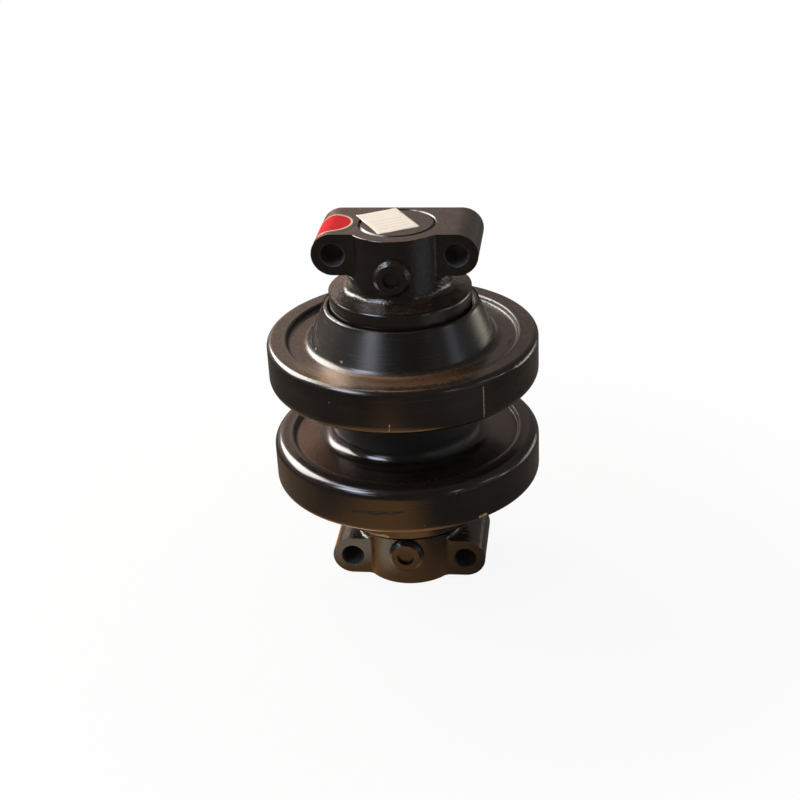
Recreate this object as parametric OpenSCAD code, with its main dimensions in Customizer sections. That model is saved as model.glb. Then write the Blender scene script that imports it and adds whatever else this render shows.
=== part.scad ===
// Double-rim track roller of a crawler undercarriage, standing on the end of its lower collar.
// The roller's axis is Z. The pin bosses face -Y and the bolted faces of the collars face +Y.
// Heights inside the modules are measured from the middle of the roller, towards one end.

/* [Overall] */
// Distance between the end faces of the two collars
overall_length = 375; // [365:1:420]

/* [Wheels] */
// Diameter of the two rims that run on the track
wheel_d = 266; // [255:1:300]
// Width of one rim
rim_width = 46; // [40:1:55]
// Clear distance between the two rims, where the guide lugs of the track pass
wheel_gap = 58; // [50:1:70]
// Diameter of the recessed face inside each rim
recess_d = 226; // [220:1:236]
// Depth of the recessed face below the rim's face
recess_depth = 5.2; // [5.2:0.2:8]
// Rounding of the step between rim face and recess
step_round = 2.6; // [1:0.2:2.6]
// Rounding of each rim's outboard edge
rim_outer_round = 5.5; // [2:0.5:8]
// Rounding of each rim's inboard edge
rim_inner_round = 9.5; // [2:0.5:10]
// Diameter of the waist between the wheels
waist_d = 142; // [132:1:160]
// Fillet between waist and wheel
waist_fillet = 13.5; // [8:0.5:22]

/* [Shell ends] */
// Length of the roller shell from lip to lip
shell_length = 214; // [206:1:226]
// Angle between the end cone's flank and the roller's axis
cone_angle = 24; // [15:1:28]
// Fillet between end cone and wheel
cone_fillet = 8; // [6:0.5:14]
// Wall of the lip at the mouth of the shell
lip_wall = 4; // [3.6:0.1:5]
// Rounding of the lip's outer edge
lip_round = 4.2; // [1:0.2:5]

/* [Shaft] */
// Diameter of the shaft inside the collars
shaft_end_d = 73; // [66:0.5:78]
// Height of the shoulder from the shaft's ends up to its bearing journal
shaft_shoulder = 1.5; // [1:0.1:3]
// Chamfer of the shaft's ends
shaft_chamfer = 2.5; // [1:0.5:4]
// Diameter of the drilled oil gallery
gallery_d = 12; // [8:0.5:14]
// Diameter of the cross hole that feeds oil to the bushes
cross_hole_d = 8; // [5:0.5:10]

/* [Collars] */
// Wall of the collar's hub round the shaft
hub_wall = 13.5; // [11:0.5:17]
// Wall left between the shaft and the flat bolted face
back_wall = 5.5; // [4.5:0.5:9]
// Depth of the lugs, from the bolted face to their front faces
lug_depth = 73; // [66:1:78]
// Diameter of the bolt holes
bolt_hole_d = 22; // [17:0.5:24]
// Wall of the lug round a bolt hole
lug_wall = 9.5; // [8:0.5:12]
// Distance between the two bolt holes of one collar
bolt_spacing = 117; // [112:1:135]
// Chamfer of the bolt holes' front edges
bolt_hole_chamfer = 1; // [0.5:0.5:1.5]
// Chamfer of the collar's bore at the end face
bore_chamfer = 1; // [0.5:0.5:3]
// Cast blend between lugs and hub
lug_blend = 6; // [3:0.5:8]
// Fillet between hub and flange
hub_fillet = 7; // [6:0.5:14]
// Thickness of the round flange
flange_t = 23.5; // [20:0.5:28]
// Rise of the flange's cast back from its edge to the hub
flange_rise = 3.5; // [0:0.5:5]
// Wall of the flange round the seal's seat
flange_wall = 7.7; // [6:0.1:10]
// Rounding of the flange's edges
flange_round = 3.5; // [1:0.5:5]
// Length of flange inside the mouth of the shell
flange_overlap = 8; // [5:0.5:10]
// Wall of the collar's nose, which takes end thrust from the bush
nose_wall = 9.5; // [8:0.5:12]

/* [Lock pins] */
// Diameter of the pins that lock shaft and collars together
pin_d = 17; // [12:0.5:18]
// Length of a pin
pin_length = 37; // [32:0.5:40]
// Depth of the pin's end below the boss's face
pin_recess = 4; // [2:0.5:6]
// Distance from the collar's end face to the pin
pin_from_end = 35.5; // [33:0.5:38]
// Diameter of the pin's boss
boss_d = 35.5; // [28:0.5:38]
// Height of the boss's face over the crown of the hub
boss_height = 6.5; // [2:0.5:8]
// Chamfer of the boss's edge
boss_chamfer = 3.5; // [1:0.5:4]

/* [Bushes] */
// Wall of a bush
bush_wall = 6; // [4:0.5:8]
// Length of a bush with its flange
bush_length = 64; // [50:1:72]
// Thickness of the bush's flange
bush_flange_t = 6; // [4:0.5:8]
// Height of the bush's flange over its wall
bush_flange_h = 7; // [4:0.5:8]
// Depth of the oil chamber cut into the shell between the bushes
oil_chamber_depth = 4; // [2:0.5:8]
// Bore left between the oil chamber and a bush
oil_chamber_land = 6; // [3:0.5:10]

/* [Seals] */
// Length of one seal ring
seal_ring_length = 12; // [10.5:0.5:12.5]
// Width of a seal ring's face
seal_face_w = 9.5; // [8:0.5:11]
// Thickness of a seal ring behind its face
seal_face_t = 4; // [3:0.5:4.5]
// Wall of a seal ring's tail
seal_tail_wall = 4; // [3:0.5:5]
// Rise of the ramp on which the toric presses
seal_ramp = 1.2; // [0.6:0.2:2]
// Thickness of a toric
toric_d = 8; // [7:0.5:8.5]
// Thickness of a shaft O-ring
o_ring_d = 3.5; // [2.5:0.5:5]
// Distance from the seal's seat in the collar to the shaft O-ring
o_ring_setback = 8; // [6:0.5:11]

/* [Oil plug] */
// Diameter of the plug's thread
plug_thread_d = 18; // [16:0.5:20]
// Length of the plug's thread
plug_thread_length = 14; // [10:0.5:15]
// Diameter of the plug's head
plug_head_d = 26; // [24:0.5:30]
// Thickness of the plug's head
plug_head_t = 5; // [4:0.5:7]
// Depth of the plug's head below the shaft's end
plug_sink = 1.5; // [1:0.5:3]
// Width across the flats of the plug's socket
plug_socket = 10; // [8:0.5:12]
// Depth of the plug's socket
plug_socket_depth = 5; // [3:0.5:7]
// Thickness of the washer under the plug's head
plug_washer_t = 1.5; // [1:0.5:3]

/* [Clearances] */
// Radial clearance between shaft and bush
running_fit = 0.06; // [0.02:0.01:0.09]
// Radial clearance of pieces that are fitted tight
static_fit = 0.03; // [0.01:0.01:0.05]
// Radial gap between flange and shell
mouth_gap = 2.5; // [1.5:0.1:4]
// Gap along the axis between flange and shell
seat_gap = 3; // [2:0.1:4]
// Gap along the axis between a collar's nose and its bush
thrust_play = 0.2; // [0.1:0.05:0.4]
// Oil film between the two seal rings of a pair
seal_film = 0.1; // [0.05:0.05:0.2]
// Radial gap between seal ring and nose
nose_gap = 2.5; // [1.5:0.1:4]
// Gap round a toric or an O-ring at rest
rubber_gap = 0.25; // [0.1:0.05:0.3]
// Gap behind a seal ring's tail
tail_gap = 1; // [0.6:0.1:2]
// Space left past the end of a pin or thread in its hole
hole_end_gap = 1; // [0.5:0.5:2]
// Radial gap round the plug's head
plug_head_gap = 1; // [0.5:0.5:2]

/* [Hidden] */
$fn = 96;

// Extra length by which a cutting shape passes the surface that it cuts
pass = 1;

black_paint = "#2e2c2a";
turned_steel = "#8d8f92";
seal_iron = "#6f7276";
bush_bronze = "#a8834b";
rubber = "#1c1c1d";
copper = "#b0693c";

// Radii from the shaft outwards
shaft_end_r = shaft_end_d / 2;
journal_r = shaft_end_r + shaft_shoulder;
collar_bore_r = shaft_end_r + static_fit;
hub_r = shaft_end_r + hub_wall;
nose_r = shaft_end_r + nose_wall;
bush_in_r = journal_r + running_fit;
bush_out_r = bush_in_r + bush_wall;
bush_flange_r = bush_out_r + bush_flange_h;
seal_in_r = nose_r + nose_gap;
seal_out_r = seal_in_r + seal_face_w;
seal_tail_r = seal_in_r + seal_tail_wall;
toric_r = seal_tail_r + seal_ramp / 2 + rubber_gap + toric_d / 2;
seat_r = toric_r + toric_d / 2 + rubber_gap;
flange_r = seat_r + flange_wall;
mouth_r = flange_r + mouth_gap;
lip_r = mouth_r + lip_wall;
o_ring_r = collar_bore_r - rubber_gap - o_ring_d / 2;
o_ring_groove_r = o_ring_r - o_ring_d / 2 - rubber_gap;

// Heights from the middle of the roller towards one end
mid_z = overall_length / 2;
end_h = overall_length / 2;
rim_in_h = wheel_gap / 2;
rim_out_h = rim_in_h + rim_width;
lip_h = shell_length / 2;
flange_in_h = lip_h - flange_overlap;
flange_out_h = flange_in_h + flange_t;
flange_top_h = flange_out_h + flange_rise;
shell_seat_h = flange_in_h - seat_gap;
seal_h = (flange_in_h + shell_seat_h) / 2;
seat_depth = seal_ring_length + tail_gap;
collar_floor_h = seal_h + seat_depth;
shell_floor_h = seal_h - seat_depth;
thrust_h = shell_floor_h + thrust_play;
bush_in_h = shell_floor_h - bush_length;
oil_chamber_h = bush_in_h - oil_chamber_land;
o_ring_h = collar_floor_h + o_ring_setback;
toric_h = seal_face_t + rubber_gap + toric_d / 2;
lug_r = bolt_hole_d / 2 + lug_wall;
lug_h = end_h - lug_r;
lug_under_h = lug_h - lug_r;
pin_h = end_h - pin_from_end;

// Distances from the axis along Y
back_y = shaft_end_r + back_wall;
lug_front_y = back_y - lug_depth;
boss_y = hub_r + boss_height;
pin_head_y = boss_y - pin_recess;
pin_tip_y = pin_head_y - pin_length;

// Depths below the shaft's end at the oil plug
plug_seat_depth = plug_sink + plug_head_t + plug_washer_t;
plug_hole_depth = plug_seat_depth + plug_thread_length + hole_end_gap;

// Outline tools: an outline is a list of [x, y, corner radius], anticlockwise
function xy(p) = [p[0], p[1]];
function unit(v) = v / norm(v);
function before(points, i) = xy(points[(i + len(points) - 1) % len(points)]);
function after(points, i) = xy(points[(i + 1) % len(points)]);
function turn(points, i) =
  let (a = xy(points[i]) - before(points, i), b = after(points, i) - xy(points[i]))
  a[0] * b[1] - a[1] * b[0];
function mirrored(points) = [for (i = [len(points) - 1:-1:0]) [points[i][0], -points[i][1], points[i][2]]];

// Sliver between a corner and the arc that rounds it
module corner_sliver(points, i) {
  at = xy(points[i]);
  a = unit(before(points, i) - at);
  b = unit(after(points, i) - at);
  half_angle = acos(a * b) / 2;
  radius = points[i][2];
  reach = radius / tan(half_angle);
  difference() {
    polygon([at, at + a * reach, at + b * reach]);
    translate(at + unit(a + b) * radius / sin(half_angle))
      circle(r = radius);
  }
}

// Outline with its outward corners rounded off and its inward corners filleted
module rounded_outline(points) {
  corners = [for (i = [0:len(points) - 1]) if (points[i][2] > 0) i];
  difference() {
    union() {
      polygon([for (p = points) xy(p)]);
      for (i = corners)
        if (turn(points, i) < 0) corner_sliver(points, i);
    }
    for (i = corners)
      if (turn(points, i) > 0) corner_sliver(points, i);
  }
}

// Places that turn heights from the middle into heights above the ground
module upper_half() {
  translate([0, 0, mid_z]) children();
}

module lower_half() {
  translate([0, 0, mid_z]) mirror([0, 0, 1]) children();
}

// Cylinder along -Y from one distance in front of the axis to another
module front_cylinder(r, from_y, to_y, h) {
  translate([0, -from_y, h]) rotate([90, 0, 0]) cylinder(r = r, h = to_y - from_y);
}

// Upper half of the shell's section, from the waist out over the wheel and back in to the bore
shell_floor_round = 2;
recess_r = recess_d / 2;
recess_out_h = rim_out_h - recess_depth;
recess_in_h = rim_in_h + recess_depth;
cone_foot_r = lip_r + (lip_h - recess_out_h) * tan(cone_angle);
shell_half_outline = [
  [waist_d / 2, recess_in_h, waist_fillet],
  [recess_r, recess_in_h, step_round],
  [recess_r, rim_in_h, step_round],
  [wheel_d / 2, rim_in_h, rim_inner_round],
  [wheel_d / 2, rim_out_h, rim_outer_round],
  [recess_r, rim_out_h, step_round],
  [recess_r, recess_out_h, step_round],
  [cone_foot_r, recess_out_h, cone_fillet],
  [lip_r, lip_h, lip_round],
  [mouth_r, lip_h, 0],
  [mouth_r, shell_seat_h, 0],
  [seat_r, shell_seat_h, 0],
  [seat_r, shell_floor_h, shell_floor_round],
  [bush_flange_r + static_fit, shell_floor_h, 0],
  [bush_flange_r + static_fit, shell_floor_h - bush_flange_t, 0],
  [bush_out_r + static_fit, shell_floor_h - bush_flange_t, 0],
  [bush_out_r + static_fit, oil_chamber_h, 0],
  [bush_out_r + static_fit + oil_chamber_depth, oil_chamber_h, 0]
];

module roller_shell() {
  color(black_paint)
    upper_half()
      rotate_extrude()
        rounded_outline(concat(shell_half_outline, mirrored(shell_half_outline)));
}

// Flanged bush whose flange lies flush with the floor of the seal's seat
module bush() {
  color(bush_bronze)
    rotate_extrude()
      polygon([
        [bush_in_r, bush_in_h],
        [bush_out_r, bush_in_h],
        [bush_out_r, shell_floor_h - bush_flange_t],
        [bush_flange_r, shell_floor_h - bush_flange_t],
        [bush_flange_r, shell_floor_h],
        [bush_in_r, shell_floor_h]
      ]);
}

// Lapped ring of a floating face seal, with its face at height 0 and its tail above
module seal_ring() {
  tail_corner_round = 1;
  color(seal_iron)
    rotate_extrude()
      rounded_outline([
        [seal_in_r, 0, 0],
        [seal_out_r, 0, 0],
        [seal_out_r, seal_face_t, tail_corner_round],
        [seal_tail_r + seal_ramp, seal_face_t, 0],
        [seal_tail_r, seal_ring_length, 0],
        [seal_in_r, seal_ring_length, 0]
      ]);
}

// Rubber ring that lies round the ramp of a seal ring
module toric() {
  color(rubber)
    translate([0, 0, toric_h])
      rotate_extrude()
        translate([toric_r, 0])
          circle(d = toric_d);
}

// The two halves of a face seal look at each other across the oil film
module in_collar_seat() {
  translate([0, 0, seal_h + seal_film / 2]) children();
}

module in_shell_seat() {
  translate([0, 0, seal_h - seal_film / 2]) mirror([0, 0, 1]) children();
}

// Shaft with shoulders, O-ring grooves, pin holes and the oil gallery from its lower end
shaft_groove_half = o_ring_d / 2 + rubber_gap;
shaft_half_outline = [
  [journal_r, thrust_h, 0],
  [shaft_end_r, thrust_h, 0],
  [shaft_end_r, o_ring_h - shaft_groove_half, 0],
  [o_ring_groove_r, o_ring_h - shaft_groove_half, 0],
  [o_ring_groove_r, o_ring_h + shaft_groove_half, 0],
  [shaft_end_r, o_ring_h + shaft_groove_half, 0],
  [shaft_end_r, end_h - shaft_chamfer, 0],
  [shaft_end_r - shaft_chamfer, end_h, 0],
  [0, end_h, 0]
];

module shaft_pin_hole() {
  front_cylinder(pin_d / 2 + static_fit, pin_tip_y - hole_end_gap, journal_r + pass, pin_h);
}

module shaft_oil_ways() {
  gallery_past_middle = cross_hole_d;
  lower_half() {
    translate([0, 0, -gallery_past_middle])
      cylinder(d = gallery_d, h = end_h + gallery_past_middle);
    translate([0, 0, end_h - plug_hole_depth])
      cylinder(r = plug_thread_d / 2 + static_fit, h = plug_hole_depth + pass);
    translate([0, 0, end_h - plug_seat_depth])
      cylinder(r = plug_head_d / 2 + plug_head_gap, h = plug_seat_depth + pass);
    rotate([0, 90, 0])
      cylinder(d = cross_hole_d, h = 2 * (journal_r + pass), center = true);
  }
}

module shaft() {
  color(turned_steel)
    difference() {
      upper_half()
        rotate_extrude()
          rounded_outline(concat(shaft_half_outline, mirrored(shaft_half_outline)));
      upper_half() shaft_pin_hole();
      lower_half() shaft_pin_hole();
      shaft_oil_ways();
    }
}

// Round body of a collar: hub, flange with the seal's seat, and nose
collar_edge_round = 1;
collar_outline = [
  [0, thrust_h, 0],
  [nose_r, thrust_h, 0],
  [nose_r, collar_floor_h, 0],
  [seat_r, collar_floor_h, shell_floor_round],
  [seat_r, flange_in_h, 0],
  [flange_r, flange_in_h, collar_edge_round],
  [flange_r, flange_out_h, flange_round],
  [hub_r, flange_top_h, hub_fillet],
  [hub_r, end_h, collar_edge_round],
  [0, end_h, 0]
];

// Bar through the hub whose round ends are the two bolt lugs
module lug_bar() {
  translate([0, back_y, 0])
    rotate([90, 0, 0])
      linear_extrude(lug_depth) {
        for (side = [-1, 1])
          translate([side * bolt_spacing / 2, lug_h])
            circle(r = lug_r);
        translate([-bolt_spacing / 2, lug_under_h])
          square([bolt_spacing, 2 * lug_r]);
      }
}

// Upright cast blends where the lugs' front faces run into the hub
module front_blends() {
  front = -lug_front_y;
  foot_x = sqrt(pow(hub_r + lug_blend, 2) - pow(front + lug_blend, 2));
  corner_x = sqrt(hub_r * hub_r - front * front);
  hub_share = hub_r / (hub_r + lug_blend);
  translate([0, 0, lug_under_h])
    linear_extrude(2 * lug_r)
      for (side = [0, 1])
        mirror([side, 0])
          difference() {
            polygon([
              [corner_x - pass, lug_front_y + pass],
              [foot_x, lug_front_y + pass],
              [foot_x, lug_front_y],
              hub_share * [foot_x, lug_front_y - lug_blend]
            ]);
            translate([foot_x, lug_front_y - lug_blend])
              circle(r = lug_blend);
          }
}

// Cast blends under the lugs, which follow the hub round
module underside_blends() {
  intersection() {
    rotate_extrude()
      difference() {
        polygon([
          [hub_r - pass, lug_under_h - lug_blend],
          [hub_r, lug_under_h - lug_blend],
          [hub_r + lug_blend, lug_under_h],
          [hub_r + lug_blend, lug_under_h + pass],
          [hub_r - pass, lug_under_h + pass]
        ]);
        translate([hub_r + lug_blend, lug_under_h - lug_blend])
          circle(r = lug_blend);
      }
    translate([-bolt_spacing / 2, lug_front_y, lug_under_h - lug_blend])
      cube([bolt_spacing, lug_depth, lug_blend + pass]);
  }
}

// Round boss for the lock pin on the front of the hub
module pin_boss() {
  straight_y = boss_y - boss_chamfer;
  front_cylinder(boss_d / 2, shaft_end_r + pass, straight_y, pin_h);
  translate([0, -straight_y, pin_h])
    rotate([90, 0, 0])
      cylinder(r1 = boss_d / 2, r2 = boss_d / 2 - boss_chamfer, h = boss_chamfer);
}

module bolt_holes() {
  hole_r = bolt_hole_d / 2;
  for (side = [-1, 1])
    translate([side * bolt_spacing / 2, back_y, lug_h])
      rotate([90, 0, 0]) {
        translate([0, 0, -pass])
          cylinder(r = hole_r, h = lug_depth + 2 * pass);
        translate([0, 0, lug_depth - bolt_hole_chamfer])
          cylinder(r1 = hole_r, r2 = hole_r + bolt_hole_chamfer, h = bolt_hole_chamfer);
      }
}

module shaft_bore() {
  translate([0, 0, thrust_h - pass])
    cylinder(r = collar_bore_r, h = end_h - thrust_h + 2 * pass);
  translate([0, 0, end_h - bore_chamfer])
    cylinder(r1 = collar_bore_r, r2 = collar_bore_r + bore_chamfer, h = bore_chamfer);
}

// Flat bolted face, milled off the hub down to the flange
module back_flat() {
  translate([-flange_r, back_y, flange_top_h])
    cube([2 * flange_r, flange_r, end_h - flange_top_h + pass]);
}

module collar() {
  color(black_paint)
    difference() {
      union() {
        rotate_extrude() rounded_outline(collar_outline);
        lug_bar();
        front_blends();
        underside_blends();
        pin_boss();
      }
      back_flat();
      bolt_holes();
      shaft_bore();
      front_cylinder(pin_d / 2 + static_fit, shaft_end_r - pass, boss_y + pass, pin_h);
    }
}

module lock_pin() {
  color(turned_steel)
    front_cylinder(pin_d / 2, pin_tip_y, pin_head_y, pin_h);
}

module shaft_o_ring() {
  color(rubber)
    translate([0, 0, o_ring_h])
      rotate_extrude()
        translate([o_ring_r, 0])
          circle(d = o_ring_d);
}

// Screw plug with a sunk head and a hexagon socket
module oil_plug() {
  head_h = end_h - plug_sink;
  color(turned_steel)
    lower_half()
      difference() {
        union() {
          translate([0, 0, head_h - plug_head_t])
            cylinder(d = plug_head_d, h = plug_head_t);
          translate([0, 0, end_h - plug_seat_depth - plug_thread_length])
            cylinder(d = plug_thread_d, h = plug_thread_length + plug_washer_t + pass);
        }
        translate([0, 0, head_h - plug_socket_depth])
          cylinder(d = plug_socket / cos(30), h = plug_socket_depth + pass, $fn = 6);
      }
}

module oil_plug_washer() {
  color(copper)
    lower_half()
      translate([0, 0, end_h - plug_seat_depth])
        difference() {
          cylinder(d = plug_head_d, h = plug_washer_t);
          translate([0, 0, -pass])
            cylinder(r = plug_thread_d / 2 + static_fit, h = plug_washer_t + 2 * pass);
        }
}

roller_shell();
upper_half() bush();  // upper_bush
lower_half() bush();  // lower_bush
upper_half() in_shell_seat() seal_ring();  // upper_shell_seal_ring
lower_half() in_shell_seat() seal_ring();  // lower_shell_seal_ring
upper_half() in_shell_seat() toric();  // upper_shell_toric
lower_half() in_shell_seat() toric();  // lower_shell_toric
shaft();
upper_half() collar();  // upper_collar
lower_half() collar();  // lower_collar
upper_half() lock_pin();  // upper_lock_pin
lower_half() lock_pin();  // lower_lock_pin
upper_half() in_collar_seat() seal_ring();  // upper_collar_seal_ring
lower_half() in_collar_seat() seal_ring();  // lower_collar_seal_ring
upper_half() in_collar_seat() toric();  // upper_collar_toric
lower_half() in_collar_seat() toric();  // lower_collar_toric
upper_half() shaft_o_ring();  // upper_shaft_o_ring
lower_half() shaft_o_ring();  // lower_shaft_o_ring
oil_plug();
oil_plug_washer();
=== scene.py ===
# %% [markdown]
# # Dressing a crawler's track roller
#
# This roller carries the weight of a tracked machine: its two wheels run on the inside of the
# track, and the track's guide lugs pass through the waist between them. The exact solids come
# packed as a fixed frame, in metres, standing on end. Everything below adds what a camera sees:
# paint, dust, stickers, light and a camera. No solid is moved or reshaped.

# %% Load the fixed frame
import math

import bpy
from mathutils import Matrix, Vector


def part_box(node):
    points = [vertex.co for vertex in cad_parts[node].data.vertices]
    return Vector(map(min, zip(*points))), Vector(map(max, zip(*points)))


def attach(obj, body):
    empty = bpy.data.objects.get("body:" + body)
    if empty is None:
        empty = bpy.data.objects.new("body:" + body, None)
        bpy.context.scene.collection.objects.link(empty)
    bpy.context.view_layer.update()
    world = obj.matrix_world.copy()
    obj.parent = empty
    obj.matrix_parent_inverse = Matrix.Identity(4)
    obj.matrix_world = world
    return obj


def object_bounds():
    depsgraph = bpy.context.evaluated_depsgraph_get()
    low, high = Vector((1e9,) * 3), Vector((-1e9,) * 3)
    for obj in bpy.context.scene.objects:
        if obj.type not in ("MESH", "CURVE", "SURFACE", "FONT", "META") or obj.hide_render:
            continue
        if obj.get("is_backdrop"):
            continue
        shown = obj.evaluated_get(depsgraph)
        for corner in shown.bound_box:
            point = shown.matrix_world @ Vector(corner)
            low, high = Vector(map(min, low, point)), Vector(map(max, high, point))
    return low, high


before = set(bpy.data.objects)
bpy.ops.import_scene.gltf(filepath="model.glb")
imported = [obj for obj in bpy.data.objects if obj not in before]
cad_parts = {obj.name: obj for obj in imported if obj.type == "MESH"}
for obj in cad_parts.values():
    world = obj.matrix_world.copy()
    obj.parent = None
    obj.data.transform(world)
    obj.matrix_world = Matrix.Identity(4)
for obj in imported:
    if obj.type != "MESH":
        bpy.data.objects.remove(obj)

cad_low, cad_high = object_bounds()
MM = 0.001
print("CAD box, mm:", [round(v / MM, 1) for v in cad_high - cad_low])

# %% [markdown]
# Sizes are read off the frame where it has them, so that a change to the solids carries over. The
# few that are left are the roller's own drawing sizes. The roller is the same above and below its
# middle, so heights inside the materials are counted from there.

# %% Measure the roller
wheel_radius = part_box("roller_shell")[1].x
end_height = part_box("upper_collar")[1].z
mid_height = end_height / 2
LUG_RADIUS, BOLT_HOLE_RADIUS = 20.5 * MM, 11 * MM
lug_centre_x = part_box("upper_collar")[1].x - LUG_RADIUS
lug_centre_z = end_height - LUG_RADIUS
RIM_IN, RIM_OUT, RECESS_RADIUS = 29 * MM, 75 * MM, 113 * MM
middle = Vector((0, 0, mid_height))
print("wheels", round(2 * wheel_radius / MM, 1), "mm across, roller", round(end_height / MM, 1), "mm long")

# %% [markdown]
# The camera stands where the photographer stood: a little above the roller, a little to its right
# and not quite level. Its place was worked out from the rims, the lugs and the bolt holes, whose
# real shapes are known. A long lens from one and a half metres keeps the rims' ellipses right.

# %% Camera
CAMERA_AZIMUTH, CAMERA_ELEVATION, CAMERA_ROLL = (math.radians(a) for a in (7.86, 27.136, -2.778))
CAMERA_DISTANCE = 1.50527
FOCAL_PIXELS, PICTURE_PIXELS, SENSOR_MM = 1504.29, 800, 36
CENTRE_X_PIXELS, CENTRE_Y_PIXELS = 405.481, 399.326


def direction(azimuth, elevation):
    """Unit vector from the roller; azimuth 0 points to its front, -Y, and turns towards +X."""
    flat = math.cos(elevation)
    return Vector((math.sin(azimuth) * flat, -math.cos(azimuth) * flat, math.sin(elevation)))


toward_camera = direction(CAMERA_AZIMUTH, CAMERA_ELEVATION)
level_right = direction(CAMERA_AZIMUTH + math.pi / 2, 0)
level_up = toward_camera.cross(level_right)
picture_right = level_right * math.cos(CAMERA_ROLL) + level_up * math.sin(CAMERA_ROLL)
picture_up = toward_camera.cross(picture_right)

camera = bpy.data.objects.new("camera", bpy.data.cameras.new("camera"))
bpy.context.scene.collection.objects.link(camera)
camera.matrix_world = (
    Matrix.Translation(middle + toward_camera * CAMERA_DISTANCE)
    @ Matrix((picture_right, picture_up, toward_camera)).transposed().to_4x4()
)
camera.data.sensor_width = SENSOR_MM
camera.data.lens = FOCAL_PIXELS / PICTURE_PIXELS * SENSOR_MM
camera.data.shift_x = (PICTURE_PIXELS / 2 - CENTRE_X_PIXELS) / PICTURE_PIXELS
camera.data.shift_y = (CENTRE_Y_PIXELS - PICTURE_PIXELS / 2) / PICTURE_PIXELS
bpy.context.scene.camera = camera
print("lens", round(camera.data.lens, 2), "mm at", [round(v, 3) for v in camera.location])

# %% [markdown]
# A few small helpers serve every material. Colours are written as sRGB hex values, as a paint chart
# gives them, and shaders work in linear light, so one function converts. One adds a node, sets it
# and links it, which keeps each material readable from top to bottom. One empties a node tree, and
# one starts a material.

# %% Helpers for materials


def linear(hex_colour):
    """An sRGB hex colour as the linear RGBA that shaders use."""
    parts = [int(hex_colour[i : i + 2], 16) / 255 for i in (1, 3, 5)]
    return [c / 12.92 if c <= 0.04045 else ((c + 0.055) / 1.055) ** 2.4 for c in parts] + [1]


def add(tree, kind, inputs=None, **settings):
    """One shader node: settings go on the node, inputs are values or other nodes' outputs."""
    made = tree.nodes.new("ShaderNode" + kind)
    for name, value in settings.items():
        setattr(made, name, value)
    for key, value in (inputs or {}).items():
        if isinstance(value, bpy.types.NodeSocket):
            tree.links.new(value, made.inputs[key])
        else:
            made.inputs[key].default_value = value
    return made


def empty_tree(owner):
    """The node tree of a material or a world, without the nodes that Blender puts there."""
    owner.use_nodes = True
    owner.node_tree.nodes.clear()
    return owner.node_tree


def start_material(name, **constants):
    """An empty material with one principled surface, and the constants on its own sockets."""
    material = bpy.data.materials.new(name)
    tree = empty_tree(material)
    surface = add(tree, "BsdfPrincipled", {k.replace("_", " "): v for k, v in constants.items()})
    add(tree, "OutputMaterial", {"Surface": surface.outputs["BSDF"]})
    return material, tree, surface.inputs


print("black enamel in linear light:", [round(c, 4) for c in linear("#141211")[:3]])

# %% [markdown]
# The roller is turned on a lathe, so most of its marks run in rings about its axis. A pattern that
# depends only on the distance from the axis and on the height is a ring by itself, with no
# unwrapping. The first helper works out those lengths once for any material. It also unrolls a
# tread flat: how far round from the front, and how far above the middle. The second draws the
# grooves of a turning tool.

# %% Rings about the roller's axis


def lathe_place(tree):
    """Where a point of the surface lies: the point, its lengths as a lathe counts them, its facing."""
    coordinates = add(tree, "TexCoord").outputs
    point = coordinates["Object"]
    parts = add(tree, "SeparateXYZ", {0: point}).outputs
    across = add(tree, "CombineXYZ", {0: parts["X"], 1: parts["Y"]}).outputs[0]
    radius = add(tree, "VectorMath", {0: across}, operation="LENGTH").outputs["Value"]
    above = add(tree, "Math", {0: parts["Z"], 1: mid_height}, operation="SUBTRACT").outputs[0]
    from_middle = add(tree, "Math", {0: above}, operation="ABSOLUTE").outputs[0]
    toward_front = add(tree, "Math", {0: parts["Y"], 1: -1}, operation="MULTIPLY").outputs[0]
    around = add(tree, "Math", {0: parts["X"], 1: toward_front}, operation="ARCTAN2").outputs[0]
    arc = add(tree, "Math", {0: around, 1: wheel_radius}, operation="MULTIPLY").outputs[0]
    return {
        "point": point, "x": parts["X"], "above": above, "arc": arc,
        "radius": radius, "from_middle": from_middle,
        "rings": add(tree, "CombineXYZ", {0: radius, 1: parts["Z"]}).outputs[0],
        "section": add(tree, "CombineXYZ", {0: radius, 1: from_middle}).outputs[0],
        "tread": add(tree, "CombineXYZ", {0: arc, 1: above}).outputs[0],
        "upward": add(tree, "SeparateXYZ", {0: coordinates["Normal"]}).outputs["Z"],
    }


def lathe_rings(tree, place, spacing):
    """Grooves of a turning tool, about the given spacing apart, from 0 to 1."""
    field = add(tree, "TexNoise", {"Vector": place["rings"], "Scale": 1 / spacing, "Detail": 2},
                noise_dimensions="2D")
    return field.outputs["Fac"]


print("rings about the axis, heights from", round(mid_height / MM, 2), "mm up")

# %% [markdown]
# Masks say where on the surface something happens, from 0 to 1. A band picks out a range of a
# length with soft ends, a cloud breaks a mask up so that no edge looks drawn, and a line is a
# scratch between two points. Masks multiply, so "in the recess, at the front, in patches" is three.

# %% Masks
CLOUD_RAGGEDNESS = 0.6
SCRATCH_BREAK, SCRATCH_ROUGHNESS = 2.2 * MM, 0.85


def band(tree, value, low, high, soft):
    """1 where the value lies between low and high, 0 further out than soft on either side."""
    rise = add(tree, "MapRange", {"Value": value, "From Min": low - soft, "From Max": low},
               interpolation_type="SMOOTHSTEP").outputs[0]
    fall = add(tree, "MapRange", {"Value": value, "From Min": high + soft, "From Max": high},
               interpolation_type="SMOOTHSTEP").outputs[0]
    return both(tree, rise, fall)


def both(tree, *masks):
    """The product of masks."""
    result = masks[0]
    for mask in masks[1:]:
        result = add(tree, "Math", {0: result, 1: mask}, operation="MULTIPLY").outputs[0]
    return result


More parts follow.
